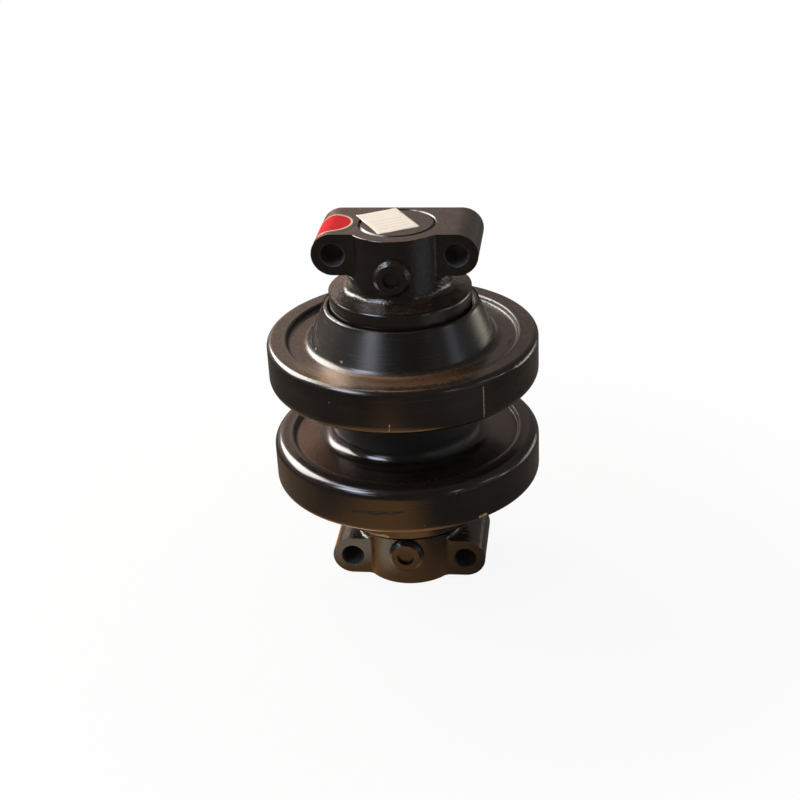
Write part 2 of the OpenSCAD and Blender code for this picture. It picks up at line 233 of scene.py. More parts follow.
def cloud(tree, vector, size, low, high, detail=5):
    """Patches of about the given size: 0 where the noise is below low, 1 above high."""
    field = add(tree, "TexNoise", {"Vector": vector, "Scale": 1 / size, "Detail": detail,
                                   "Roughness": CLOUD_RAGGEDNESS}).outputs["Fac"]
    return add(tree, "MapRange", {"Value": field, "From Min": low, "From Max": high}).outputs[0]


def line(tree, point, start, end, width):
    """1 along the straight line between two points and 0 further from it than the width."""
    along = Vector(end) - Vector(start)
    offset = add(tree, "VectorMath", {0: point, 1: start}, operation="SUBTRACT").outputs[0]
    per_length = along / along.length_squared
    share = add(tree, "VectorMath", {0: offset, 1: per_length}, operation="DOT_PRODUCT").outputs["Value"]
    share = add(tree, "Math", {0: share, 1: 1}, operation="MULTIPLY", use_clamp=True).outputs[0]
    nearest = add(tree, "VectorMath", {0: along, "Scale": share}, operation="SCALE").outputs[0]
    gap = add(tree, "VectorMath", {0: offset, 1: nearest}, operation="DISTANCE").outputs["Value"]
    return add(tree, "MapRange", {"Value": gap, "From Min": width, "From Max": width / 2}).outputs[0]


def scratches(tree, vector, marks):
    """Marks on a finish, each with its start, end and width in mm, a colour and a strength."""
    found = []
    for start, end, width, colour, strength in marks:
        drawn = line(tree, vector, [c * MM for c in start], [c * MM for c in end], width * MM)
        broken = cloud(tree, vector, SCRATCH_BREAK, 0.38, 0.5)
        found.append((both(tree, drawn, broken, strength), linear(colour), SCRATCH_ROUGHNESS))
    return found


print("masks: band, cloud, line and scratches")

# %% [markdown]
# Workshop dust settles on every face that looks up, and pale specks stick anywhere. Dust lies
# thickest on a level face and slides off a steep one, and there is less of it low down, where the
# upper wheel shelters what is below.

# %% Dust and specks
DUST, DUST_PATCH, DUST_ROUGHNESS = linear("#7a6350"), 9 * MM, 0.8
DUST_MOST, DUST_SLIDES_OFF, DUST_LOW_DOWN, SHELTER_HEIGHT = 0.2, 0.7, 0.3, 20 * MM
SPECK, SPECK_SPACING, SPECK_ROUGHNESS = linear("#b9a98f"), 6 * MM, 0.7
SPECK_SHARE, SPECK_EDGE, SPECK_CORE = 0.04, 0.085, 0.04


def settled_dust(tree, place):
    """Dust on the faces that look up, in patches, with less under the upper wheel."""
    lies = add(tree, "MapRange", {"Value": place["upward"], "From Min": DUST_SLIDES_OFF, "From Max": 1,
                                  "To Max": DUST_MOST}, interpolation_type="SMOOTHSTEP").outputs[0]
    sheltered = add(tree, "MapRange", {"Value": place["above"], "From Min": -SHELTER_HEIGHT,
                                       "From Max": SHELTER_HEIGHT, "To Min": DUST_LOW_DOWN}).outputs[0]
    patches = cloud(tree, place["point"], DUST_PATCH, 0.2, 0.8, 3)
    return both(tree, lies, sheltered, patches), DUST, DUST_ROUGHNESS


def stuck_specks(tree, place):
    """Pale grit under a millimetre across, in a few of the cells of a cell pattern."""
    cells = add(tree, "TexVoronoi", {"Vector": place["point"], "Scale": 1 / SPECK_SPACING}).outputs
    chance = add(tree, "SeparateXYZ", {0: cells["Color"]}).outputs["X"]
    kept = add(tree, "Math", {0: chance, 1: SPECK_SHARE}, operation="LESS_THAN").outputs[0]
    dot = add(tree, "MapRange", {"Value": cells["Distance"], "From Min": SPECK_EDGE,
                                 "From Max": SPECK_CORE}).outputs[0]
    return both(tree, dot, kept), SPECK, SPECK_ROUGHNESS


print("dust up to", DUST_MOST, "and specks in", SPECK_SHARE, "of the cells")

# %% [markdown]
# The roller wears one coat of black alkyd enamel, sprayed on after assembly. Under a lamp it is a
# dark, slightly brown film with a glossy skin: nearly all that the eye gets is what the skin
# mirrors. The same coat covers turned steel and rough casting, so the relief under it and the marks
# on it are left to each finish.

# %% Black enamel
FILM_BLACK, FILM_BROWN, FILM_PATCH = linear("#141211"), linear("#211a16"), 45 * MM
ENAMEL_GLOSS, ENAMEL_BUMP = (0.14, 0.21), 0.6


def enamel(name, relief, depth, marks):
    """Black enamel over a relief; marks(tree, place) lists what lies on it as mask, colour, roughness."""
    material, tree, surface = start_material(name, IOR=1.5)
    place = lathe_place(tree)
    patches = cloud(tree, place["point"], FILM_PATCH, 0.3, 0.7, 4)
    coat = add(tree, "Mix", {0: patches, 6: FILM_BLACK, 7: FILM_BROWN}, data_type="RGBA").outputs[2]
    skin = add(tree, "MapRange", {"Value": patches, "To Min": ENAMEL_GLOSS[0],
                                  "To Max": ENAMEL_GLOSS[1]}).outputs[0]
    lying = [settled_dust(tree, place), stuck_specks(tree, place)] + marks(tree, place)
    for mask, colour, roughness in lying:
        coat = add(tree, "Mix", {0: mask, 6: coat, 7: colour}, data_type="RGBA").outputs[2]
        skin = add(tree, "Mix", {0: mask, 2: skin, 3: roughness}).outputs[0]
    tree.links.new(coat, surface["Base Color"])
    tree.links.new(skin, surface["Roughness"])
    bump = add(tree, "Bump", {"Strength": ENAMEL_BUMP, "Distance": depth, "Height": relief(tree, place)})
    tree.links.new(bump.outputs[0], surface["Normal"])
    return material


print("enamel with a roughness of", ENAMEL_GLOSS[0], "to", ENAMEL_GLOSS[1])

# %% [markdown]
# The shell is forged and then turned. The lathe leaves fine grooves, a feed of about 0.4 mm, which
# the coat half fills. At one pixel to the millimetre that is too fine to show, so the rings are
# drawn about 1.8 mm apart, with the coat's own orange peel of about 4 mm over them. Both are only
# a few thousandths of a millimetre deep, enough to make a reflection waver.

# %% Relief of the turned shell
TURNED_RING, ORANGE_PEEL = 1.8 * MM, 4 * MM
TURNED_DEPTH, PEEL_SHARE = 0.006 * MM, 0.4


def turned_relief(tree, place):
    """Lathe rings under orange peel."""
    rings = lathe_rings(tree, place, TURNED_RING)
    peel = add(tree, "TexNoise", {"Vector": place["point"], "Scale": 1 / ORANGE_PEEL, "Detail": 1})
    relief = add(tree, "Math", {0: peel.outputs["Fac"], 1: PEEL_SHARE, 2: rings}, operation="MULTIPLY_ADD")
    return relief.outputs[0]


print("relief of the shell:", round(TURNED_DEPTH / MM, 4), "mm deep")

# %% [markdown]
# Where a mark lies follows from the shell's own forms. The shell is round, so each form is a mask
# made from the distance from the axis and from the height: the cones, the recesses in the wheels'
# faces and the steps round them, the rims with their treads, and the waist with its corners.

# %% Forms of the turned shell
WAIST_RADIUS, CONE_FROM, CONE_TO, SHELL_END = 71 * MM, 76 * MM, 92 * MM, 107 * MM


def shell_forms(tree, place):
    """Masks of the shell's forms, by name."""
    radius, above, from_middle = place["radius"], place["above"], place["from_middle"]
    forms = {
        "recess": band(tree, radius, CONE_TO + 1 * MM, RECESS_RADIUS + 5 * MM, 9 * MM),
        "step": band(tree, radius, RECESS_RADIUS - 4 * MM, RECESS_RADIUS + 5 * MM, 2 * MM),
        "face": band(tree, radius, CONE_TO + 7 * MM, wheel_radius - 5 * MM, 5 * MM),
        "rim": band(tree, radius, wheel_radius - 7 * MM, wheel_radius + 1 * MM, 1 * MM),
        "tread": band(tree, radius, wheel_radius - 1 * MM, wheel_radius + 1 * MM, 1 * MM),
        "top": band(tree, above, RIM_OUT - 9 * MM, RIM_OUT + 6 * MM, 2 * MM),
    }
    forms["cone"] = both(tree, band(tree, radius, CONE_FROM, CONE_TO, 3 * MM),
                         band(tree, from_middle, RIM_OUT - 2 * MM, SHELL_END - 4 * MM, 4 * MM))
    forms["waist"] = both(tree, band(tree, radius, WAIST_RADIUS - 11 * MM, WAIST_RADIUS + 4 * MM, 3 * MM),
                          band(tree, from_middle, 0, RIM_IN - 8 * MM, 3 * MM))
    forms["corner"] = both(tree, band(tree, radius, WAIST_RADIUS - 3 * MM, WAIST_RADIUS + 17 * MM, 3 * MM),
                           band(tree, from_middle, RIM_IN - 15 * MM, RIM_IN + 1 * MM, 4 * MM))
    forms["low_recess"] = both(tree, band(tree, radius, WAIST_RADIUS + 17 * MM, RECESS_RADIUS, 4 * MM),
                               band(tree, above, -RIM_IN - 8 * MM, -RIM_IN - 2 * MM, 2 * MM))
    return forms


print("waist", round(WAIST_RADIUS / MM, 1), "mm, recess", round(RECESS_RADIUS / MM, 1), "mm in radius")

# %% [markdown]
# Two kinds of wear follow these forms. The tool's grooves show through the coat as fine streaks, and
# the rims' edges have knocked against other rollers, where small chips show the primer.

# %% Streaks and chips
STREAK, STREAK_SHARE, STREAK_ON_CONE = linear("#3c3026"), 0.4, 0.4
GROOVE_SHOWS, GROOVE_FULL = 0.5, 0.75
CHIP, CHIP_ROUGHNESS = linear("#8a6a45"), 0.7
CHIP_SIZE, CHIPS_END, CHIPS_FULL = 5 * MM, 9 * MM, 4 * MM


def streaked(tree, place, forms):
    """Fine streaks in patches, where grooves show through on the treads and, less, on the cones."""
    rings = lathe_rings(tree, place, TURNED_RING)
    grooves = add(tree, "MapRange", {"Value": rings, "From Min": GROOVE_SHOWS, "From Max": GROOVE_FULL,
                                     "To Max": STREAK_SHARE}).outputs[0]
    on_cone = both(tree, forms["cone"], STREAK_ON_CONE)
    cut = add(tree, "Math", {0: forms["tread"], 1: on_cone}, operation="MAXIMUM").outputs[0]
    return both(tree, grooves, cut, cloud(tree, place["point"], FILM_PATCH, 0.3, 0.6))


def chipped_edges(tree, place):
    """Chips along the inner and outer edges of the wheels."""
    chipped = cloud(tree, place["point"], CHIP_SIZE, 0.73, 0.76)
    chips = []
    for height in (RIM_IN, RIM_OUT):
        edge = (wheel_radius, height, 0)
        gap = add(tree, "VectorMath", {0: place["section"], 1: edge}, operation="DISTANCE").outputs["Value"]
        near = add(tree, "MapRange", {"Value": gap, "From Min": CHIPS_END, "From Max": CHIPS_FULL})
        chips.append((both(tree, near.outputs[0], chipped), CHIP, CHIP_ROUGHNESS))
    return chips


print("chips up to", round(CHIPS_END / MM, 1), "mm from an edge")

# %% [markdown]
# Marks tell what has happened to the shell, and a few paint light onto it. Road dust with iron in it
# lies brown in the recess of the upper wheel; its brightest part, at the front, is also painted warm
# light. A pale tan wedge on the upper wheel's face, at the front left, is a painted sheen. A little
# brown dust lies on the lower wheel, kept to its left side, where it also paints the light that falls
# there. The spray reached the cones and the steps at a slant, so the coat is satin there. It is dull
# in the waist, where no track runs, and on the right in its corners. A few long scratches run where
# something dragged along the treads.

# %% Marks on the turned shell
# The recess and low browns are dust that also paints light; the pale tan is a painted sheen
RECESS_DUST_AND_PAINTED_LIGHT, LOW_DUST_AND_PAINTED_LIGHT, PAINTED_SHEEN_TAN = linear("#8f6540"), linear("#7a4a30"), linear("#d6ab7c")
DUST_GRAIN = 2 * MM
# On the unrolled treads: how far round from the front and above the middle
TREAD_SCRATCHES = [
    ((94, 66, 0), (94.2, 35, 0), 0.8, "#a8956a", 0.8),
    ((2.5, 42, 0), (2.1, 35, 0), 0.8, "#b9a98f", 0.6),
    ((-38.6, -53.2, 0), (-10, -52.6, 0), 2.6, "#030303", 1),
    ((-10, -52.6, 0), (10.3, -50.9, 0), 2, "#030303", 1),
    ((87, -70.4, 0), (94, -69.9, 0), 1.8, "#c8a468", 0.9),
]
# In the roller's own axes: grit on the cone and pits in the recess
SHELL_SPOTS = [
    ((-78.7, -43.1, 263.3), (-77, -45, 263.3), 1.4, "#9a7a55", 0.8),
    ((-49.5, -74, 264.7), (-48, -75, 264.7), 1.4, "#9a7a55", 0.8),
    ((104.3, 26.9, 257.3), (106, 12, 257.3), 1.3, "#060606", 0.8),
    ((106.6, -2, 257.3), (104.9, -19.4, 257.3), 1.3, "#060606", 0.8),
]


def turned_marks(tree, place):
    """What lies on the turned shell, the lowest first."""
    point, x, arc = place["point"], place["x"], place["arc"]
    forms = shell_forms(tree, place)
    grains = cloud(tree, point, DUST_GRAIN, -0.2, 1)
    # The recess dust is strongest at the front, where it also paints warm light
    front = band(tree, arc, -80 * MM, 60 * MM, 70 * MM)
    # Where the painted sheen lies: a wedge of the upper wheel's face at the front left
    painted_sheen_place = both(tree, band(tree, x, -54 * MM, -50 * MM, 22 * MM),
                      band(tree, arc, -95 * MM, -45 * MM, 35 * MM))
    # Painted light: this keeps the lower wheel's brown dust to the left, where light falls
    left = add(tree, "MapRange", {"Value": x, "From Min": -25 * MM, "From Max": -95 * MM}).outputs[0]
    right = add(tree, "MapRange", {"Value": x, "From Min": 5 * MM, "From Max": 40 * MM}).outputs[0]
    scored = scratches(tree, place["tread"], TREAD_SCRATCHES)
    # Each mark: where it lies and how strongly, its colour and its roughness
    return [
        (both(tree, forms["step"], 0.9), FILM_BROWN, 0.34),
        # Brown dust in the recess, brightest at the front as painted warm light
        (both(tree, front, forms["recess"], forms["top"], grains, 0.42), RECESS_DUST_AND_PAINTED_LIGHT, 0.5),
        (both(tree, forms["cone"], 0.9), FILM_BLACK, 0.27),
        (streaked(tree, place, forms), STREAK, 0.4),
        (forms["waist"], FILM_BLACK, 0.6),
        # Brown dust and painted light on the lower recess, only on its left
        (both(tree, forms["low_recess"], left, 0.3), LOW_DUST_AND_PAINTED_LIGHT, 0.4),
        *chipped_edges(tree, place),
        # A painted sheen: pale tan on the face at the front left
        (both(tree, painted_sheen_place, forms["face"], forms["top"], grains, 0.6), PAINTED_SHEEN_TAN, 0.4),
        (both(tree, forms["corner"], right, 0.9), FILM_BLACK, 0.5),
        *((both(tree, mask, forms["rim"]), colour, roughness) for mask, colour, roughness in scored),
        *scratches(tree, point, SHELL_SPOTS),
    ]


turned_enamel = enamel("alkyd_enamel_on_turned_steel", turned_relief, TURNED_DEPTH, turned_marks)
print("made", turned_enamel.name)

# %% [markdown]
# The collars are sand castings. Sand leaves a pebbled skin with grains of about two millimetres and
# slow swells between them. The coat softens it but never hides it: each grain catches its own small
# light. The end faces and the flange's rim are machined, so the pebbles are nearly gone there.

# %% Relief of the cast collars
SAND_GRAIN, CAST_SWELL = 2.1 * MM, 12 * MM
CAST_DEPTH, SWELL_SHARE, MACHINED_SHARE = 0.52 * MM, 1.2, 0.15
FLANGE_RADIUS, FLANGE_FROM, FLANGE_TO = 69.3 * MM, 90 * MM, 124 * MM


def flange_rim(tree, place):
    """The flange's rim, turned to clear the mouth of the shell."""
    outermost = band(tree, place["radius"], FLANGE_RADIUS - 0.5 * MM, FLANGE_RADIUS + 1 * MM, 0.8 * MM)
    return both(tree, outermost, band(tree, place["from_middle"], FLANGE_FROM, FLANGE_TO, 2 * MM))


def cast_relief(tree, place):
    """Pebbles of moulding sand on slow swells, nearly gone where the casting is machined."""
    sand, swell = (
        add(tree, "TexNoise", {"Vector": place["point"], "Scale": 1 / size, "Detail": 1}).outputs["Fac"]
        for size in (SAND_GRAIN, CAST_SWELL)
    )
    skin = add(tree, "Math", {0: swell, 1: SWELL_SHARE, 2: sand}, operation="MULTIPLY_ADD").outputs[0]
    mean = (1 + SWELL_SHARE) / 2
    about_mean = add(tree, "Math", {0: skin, 1: mean}, operation="SUBTRACT").outputs[0]
    off_end = add(tree, "MapRange", {"Value": place["from_middle"], "From Min": mid_height - 0.1 * MM,
                                     "From Max": mid_height - 1 * MM, "To Min": MACHINED_SHARE}).outputs[0]
    off_rim = add(tree, "MapRange", {"Value": flange_rim(tree, place), "To Min": 1,
                                     "To Max": MACHINED_SHARE}).outputs[0]
    return both(tree, about_mean, off_end, off_rim)


print("relief of the collars:", round(CAST_DEPTH / MM, 2), "mm deep")

# %% [markdown]
# The bolt holes are masked off before painting, so inside they are dull and dark. The collars have
# their own few chips. Along the lower flange's front edge an ochre line is chipped paint and also a
# painted reflection of the warm ground.

# %% Enamel on the cast collars
BORE_GREY = linear("#2c2a2b")
# In the roller's own axes: ochre chips on the lower flange, also a painted reflection of warm
# ground, and a fleck of red
COLLAR_SPOTS = [
    # Painted reflection of warm ground along the lower flange's edge, drawn as chips
    ((-39.8, -54.1, 64.6), (-28, -61.5, 66.5), 2.6, "#d09a58", 0.95),
    ((-28, -61.5, 66.5), (-15.5, -67.4, 67.9), 2.6, "#d09a58", 0.95),
    ((33.5, -47.6, 312), (34.5, -47, 311), 1.2, "#a8201c", 0.9),
]


def cast_marks(tree, place):
    """A smooth flange rim, dull bolt holes, a few chips, and on the lower flange a painted reflection."""
    aside = add(tree, "Math", {0: place["x"]}, operation="ABSOLUTE").outputs[0]
    from_hole = add(tree, "CombineXYZ", {0: aside, 1: place["from_middle"]}).outputs[0]
    hole = (lug_centre_x, lug_centre_z - mid_height, 0)
    gap = add(tree, "VectorMath", {0: from_hole, 1: hole}, operation="DISTANCE").outputs["Value"]
    bore = add(tree, "MapRange", {"Value": gap, "From Min": BOLT_HOLE_RADIUS + 1.2 * MM,
                                  "From Max": BOLT_HOLE_RADIUS + 0.8 * MM}).outputs[0]
    chipped = cloud(tree, place["point"], CHIP_SIZE, 0.73, 0.75)
    # Each mark: where it lies, its colour and its roughness
    return [
        (flange_rim(tree, place), FILM_BROWN, 0.2),
        (bore, BORE_GREY, 0.75),
        (chipped, CHIP, CHIP_ROUGHNESS),
        *scratches(tree, place["point"], COLLAR_SPOTS),
    ]


cast_enamel = enamel("alkyd_enamel_on_sand_casting", cast_relief, CAST_DEPTH, cast_marks)
print("made", cast_enamel.name)

# %% [markdown]
# Inside the coat the roller is bare machined metal, which shows only where a piece is taken out.
# Every one of these is cut on a lathe or ground, so one recipe serves: two tones in patches, where
# oil and heat have stained the metal, and rings from the tool that change its roughness and relief.
# Real tool marks are a tenth of a millimetre apart and are drawn coarser here to be seen. The metals
# keep Blender's own IOR, as their colour already says how they mirror.

# %% Bare machined metals
STAIN_PATCH, METAL_BUMP = 14 * MM, 0.6
SPRAY_DEPTH, PIN_END_RADIUS, SPRAYED_ROUGHNESS = 3 * MM, 51.5 * MM, 0.26


def machined(name, clean, stained, gloss, ring, depth, painted=None):
    """A machined metal; painted(tree, place) masks the part of it that the black coat covers."""
    material, tree, surface = start_material(name, Metallic=1)
    place = lathe_place(tree)
    rings = lathe_rings(tree, place, ring)
    tones = {0: cloud(tree, place["point"], STAIN_PATCH, 0.35, 0.7), 6: linear(clean), 7: linear(stained)}
    colour = add(tree, "Mix", tones, data_type="RGBA").outputs[2]
    skin = add(tree, "MapRange", {"Value": rings, "From Min": 0.3, "From Max": 0.7,
                                  "To Min": gloss[0], "To Max": gloss[1]}).outputs[0]
    if painted:
        mask = painted(tree, place)
        dirt, dust_colour, _ = settled_dust(tree, place)
        film = add(tree, "Mix", {0: dirt, 6: FILM_BLACK, 7: dust_colour}, data_type="RGBA").outputs[2]
        colour = add(tree, "Mix", {0: mask, 6: colour, 7: film}, data_type="RGBA").outputs[2]
        skin = add(tree, "Mix", {0: mask, 2: skin, 3: SPRAYED_ROUGHNESS}).outputs[0]
        bare = add(tree, "Math", {0: 1, 1: mask}, operation="SUBTRACT").outputs[0]
        tree.links.new(bare, surface["Metallic"])
    tree.links.new(colour, surface["Base Color"])
    tree.links.new(skin, surface["Roughness"])
    bump = add(tree, "Bump", {"Strength": METAL_BUMP, "Distance": depth, "Height": rings})
    tree.links.new(bump.outputs[0], surface["Normal"])
    return material


def sprayed_ends(tree, place):
    """The shaft's end faces and the pins' outer ends, which the spray reached."""
    at_end, outside = (
        add(tree, "Math", {0: place[length], 1: limit}, operation="GREATER_THAN").outputs[0]
        for length, limit in (("from_middle", mid_height - SPRAY_DEPTH), ("radius", PIN_END_RADIUS))
    )
    return add(tree, "Math", {0: at_end, 1: outside}, operation="MAXIMUM").outputs[0]


# Ground steel gleams evenly, lapped iron is nearly a mirror, and bored bronze and soft copper go brown
ground_steel = machined("ground_steel_with_enamelled_ends", "#a3a6a9", "#787a7c", (0.18, 0.32),
                        0.9 * MM, 0.02 * MM, sprayed_ends)
turned_steel = machined("turned_steel_oiled", "#98999b", "#6a655f", (0.28, 0.45), 0.8 * MM, 0.04 * MM)
lapped_iron = machined("lapped_chilled_iron", "#8f9296", "#5d6064", (0.1, 0.3), 0.7 * MM, 0.01 * MM)
bored_bronze = machined("bored_leaded_bronze", "#b58d55", "#7d5a33", (0.24, 0.4), 1.0 * MM, 0.03 * MM)
soft_copper = machined("annealed_copper", "#b87348", "#7c4630", (0.3, 0.48), 0.6 * MM, 0.03 * MM)
print("made five machined metals")

# %% [markdown]
# The torics and O-rings are moulded nitrile rubber: almost black, softly shining where grease was
# wiped on and chalky where it was not, with the fine texture of the mould.

# %% Moulded rubber
RUBBER_GREASED, RUBBER_CHALKY = linear("#17171a"), linear("#2a2928")
MOULD_TEXTURE, MOULD_DEPTH, GREASE_PATCH = 1.2 * MM, 0.05 * MM, 10 * MM

rubber, tree, surface = start_material("moulded_nitrile_rubber", IOR=1.52)
point = add(tree, "TexCoord").outputs["Object"]
chalky = cloud(tree, point, GREASE_PATCH, 0.35, 0.65)
tone = add(tree, "Mix", {0: chalky, 6: RUBBER_GREASED, 7: RUBBER_CHALKY}, data_type="RGBA").outputs[2]
tree.links.new(tone, surface["Base Color"])
skin = add(tree, "MapRange", {"Value": chalky, "To Min": 0.36, "To Max": 0.66}).outputs[0]
tree.links.new(skin, surface["Roughness"])
texture = add(tree, "TexNoise", {"Vector": point, "Scale": 1 / MOULD_TEXTURE, "Detail": 2}).outputs["Fac"]
bump = add(tree, "Bump", {"Strength": 0.4, "Distance": MOULD_DEPTH, "Height": texture})
tree.links.new(bump.outputs[0], surface["Normal"])
print("made", rubber.name)

# %% [markdown]
# Each solid now gets its finish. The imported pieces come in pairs, upper and lower, so the end of
# a name is enough to tell what a piece is made of. Only the material slots change.

# %% Hand out the finishes
FINISH_BY_ENDING = {
    "roller_shell": turned_enamel, "collar": cast_enamel, "shaft": ground_steel, "lock_pin": ground_steel,
    "bush": bored_bronze, "seal_ring": lapped_iron, "toric": rubber, "o_ring": rubber,
    "oil_plug": turned_steel, "oil_plug_washer": soft_copper,
}
for name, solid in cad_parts.items():
    finish = next(f for ending, f in FINISH_BY_ENDING.items() if name.endswith(ending))
    for slot in solid.material_slots:
        slot.material = finish
    print(name, "wears", finish.name)

# %% [markdown]
# A paper label is stuck on the shaft's upper end, a little askew. It is coated paper: nearly white,
# warm, matt, with faint printed rules for writing on, and handled enough to have gone yellow at the
# edges. The sheet is a grid, so that it can cockle a little and lift along one edge. The outer row
# of the grid is folded down by the paper's thickness, which gives the sheet its cut edge.

# %% Paper of the label
PAPER, PAPER_AGED, RULE = linear("#f1e6d8"), linear("#dccbb2"), linear("#8f8678")
PAPER_PATCH, PAPER_FIBRE, FIBRE_DEPTH, AGED_INSIDE = 11 * MM, 0.8 * MM, 0.04 * MM, 0.25
# Printed rules, as shares of the sheet: their places up it, their ends across it, their half thickness
RULES_AT = (0.2, 0.32, 0.44, 0.56)
RULE_FROM, RULE_TO, RULE_HALF, RULE_INK = 0.14, 0.86, 0.006, 0.4

paper, tree, surface = start_material("coated_label_paper", IOR=1.5)
coordinates = add(tree, "TexCoord").outputs
sheet = add(tree, "SeparateXYZ", {0: coordinates["UV"]}).outputs
inside = both(tree, band(tree, sheet["X"], 0.07, 0.93, 0.07), band(tree, sheet["Y"], 0.05, 0.95, 0.05))
handled = cloud(tree, coordinates["Object"], PAPER_PATCH, 0.3, 0.9)
aged = add(tree, "Math", {0: 1 + AGED_INSIDE, 1: inside}, operation="SUBTRACT", use_clamp=True).outputs[0]
yellowed = both(tree, aged, handled)
tone = add(tree, "Mix", {0: yellowed, 6: PAPER, 7: PAPER_AGED}, data_type="RGBA").outputs[2]
for height in RULES_AT:
    rule = both(tree, band(tree, sheet["Y"], height - RULE_HALF, height + RULE_HALF, 0.004),
                band(tree, sheet["X"], RULE_FROM, RULE_TO, 0.01), RULE_INK)
    tone = add(tree, "Mix", {0: rule, 6: tone, 7: RULE}, data_type="RGBA").outputs[2]
tree.links.new(tone, surface["Base Color"])
skin = add(tree, "MapRange", {"Value": handled, "To Min": 0.5, "To Max": 0.68}).outputs[0]
tree.links.new(skin, surface["Roughness"])
fibre = add(tree, "TexNoise", {"Vector": coordinates["Object"], "Scale": 1 / PAPER_FIBRE, "Detail": 3})
bump = add(tree, "Bump", {"Strength": 0.3, "Distance": FIBRE_DEPTH, "Height": fibre.outputs["Fac"]})
tree.links.new(bump.outputs[0], surface["Normal"])
print("made", paper.name, "with", len(RULES_AT), "rules")

# %% Label
LABEL_WIDTH, LABEL_LENGTH, LABEL_TURN = 42.2 * MM, 57.5 * MM, math.radians(29.7)
LABEL_CENTRE = Vector((-9.5 * MM, 4.3 * MM, 0))
PAPER_THICKNESS, EDGE_LIFT, COCKLE = 0.15 * MM, 0.4 * MM, 0.12 * MM
UNSTUCK_SHARE, LEAST_UNSTUCK = 0.22, 0.35
LABEL_STEPS = 28


def add_piece(name, points, faces, materials, body):
    """A mesh piece of the roller that rides on one of its bodies."""
    mesh = bpy.data.meshes.new(name)
    mesh.from_pydata(points, [], faces)
    for material in materials:
        mesh.materials.append(material)
    mesh.shade_smooth()
    piece = bpy.data.objects.new(name, mesh)
    bpy.context.scene.collection.objects.link(piece)
    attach(piece, body)
    return piece


def label_height(u, v):
    """Height of the paper over the steel: it cockles, and its left edge has come unstuck."""
    cockle = COCKLE * (1 + math.sin(9 * u + 3 * v) * math.sin(7 * v - 2 * u))
    unstuck = max(0, 1 - u / UNSTUCK_SHARE) ** 2 * (LEAST_UNSTUCK + (1 - LEAST_UNSTUCK) * v)
    return PAPER_THICKNESS + cockle + EDGE_LIFT * unstuck


shares = [0] + [k / LABEL_STEPS for k in range(LABEL_STEPS + 1)] + [1]
side = len(shares)
points, sheet_places = [], []
for j, v in enumerate(shares):
    for i, u in enumerate(shares):
        a, b = (u - 0.5) * LABEL_WIDTH, (v - 0.5) * LABEL_LENGTH
        border = i in (0, side - 1) or j in (0, side - 1)
        height = label_height(u, v) - (PAPER_THICKNESS if border else 0)
        points.append(LABEL_CENTRE + Vector((a * math.cos(LABEL_TURN) - b * math.sin(LABEL_TURN),
                                             a * math.sin(LABEL_TURN) + b * math.cos(LABEL_TURN),
                                             end_height + height)))
        sheet_places.append((u, v))
faces = [(j * side + i, j * side + i + 1, (j + 1) * side + i + 1, (j + 1) * side + i)
         for j in range(side - 1) for i in range(side - 1)]
label = add_piece("paper_label", points, faces, [paper], "axle")
layer = label.data.uv_layers.new(name="sheet")
for corner in label.data.loops:
    layer.data[corner.index].uv = sheet_places[corner.vertex_index]
print("label", round(LABEL_WIDTH / MM, 1), "by", round(LABEL_LENGTH / MM, 1), "mm,", len(points), "points")

# %% [markdown]
# A round sticker is wrapped over the end of the left lug. It is printed vinyl film: a red field, a
# cream ring and a margin of clear film that has gone grey over the black paint. The ink is even and
# nearly matt, with dirt rubbed into it. Three materials from one recipe keep the print's edges
# crisp, because the edges are then edges of the mesh.

# %% Printed vinyl
INK_PATCH, RUBBED_DIRT, FILM_PEEL, FILM_PEEL_DEPTH = 8 * MM, 2 * MM, 3 * MM, 0.05 * MM
INK_DIRT, DIRT_SHARE = linear("#3a2a24"), 0.5


def printed_vinyl(name, fresh, faded, gloss):
    """Vinyl film with one flat ink: the ink fades in patches, and dirt is rubbed into it."""
    material, tree, surface = start_material(name, Specular_IOR_Level=0.05)
    point = add(tree, "TexCoord").outputs["Object"]
    fading = cloud(tree, point, INK_PATCH, 0.3, 0.8)
    ink = add(tree, "Mix", {0: fading, 6: linear(fresh), 7: linear(faded)}, data_type="RGBA").outputs[2]
    dirt = both(tree, cloud(tree, point, RUBBED_DIRT, 0.6, 0.75), DIRT_SHARE)
    ink = add(tree, "Mix", {0: dirt, 6: ink, 7: INK_DIRT}, data_type="RGBA").outputs[2]
    tree.links.new(ink, surface["Base Color"])
    skin = add(tree, "MapRange", {"Value": fading, "To Min": gloss[0], "To Max": gloss[1]}).outputs[0]
    tree.links.new(skin, surface["Roughness"])
    peel = add(tree, "TexNoise", {"Vector": point, "Scale": 1 / FILM_PEEL, "Detail": 1}).outputs["Fac"]
    bump = add(tree, "Bump", {"Strength": 0.3, "Distance": FILM_PEEL_DEPTH, "Height": peel})
    tree.links.new(bump.outputs[0], surface["Normal"])
    return material


sticker_inks = [
    printed_vinyl("red_ink_on_vinyl_film", "#be0c14", "#c81a20", (0.55, 0.68)),
    printed_vinyl("cream_ink_on_vinyl_film", "#ecd8c6", "#dcc3ab", (0.38, 0.5)),
    printed_vinyl("clear_vinyl_film_over_black", "#6f665c", "#595047", (0.3, 0.42)),
]
print("made", [ink.name for ink in sticker_inks])

# %% Round sticker
# Each ring of the sticker: its radius, how far it stands off the paint, both in mm, and its ink
RED_RADIUS, RED_RINGS, PRINT_LIFT, FILM_LIFT = 21.4, 10, 0.14, 0.12
STICKER_RINGS = [(RED_RADIUS * (n + 1) / RED_RINGS, PRINT_LIFT, 0) for n in range(RED_RINGS)]
STICKER_RINGS += [(23.2, PRINT_LIFT, 1), (24.6, FILM_LIFT, 2), (25.9, FILM_LIFT, 2), (26, 0, 2)]
STICKER_ALONG = 7 * MM
AROUND = 120


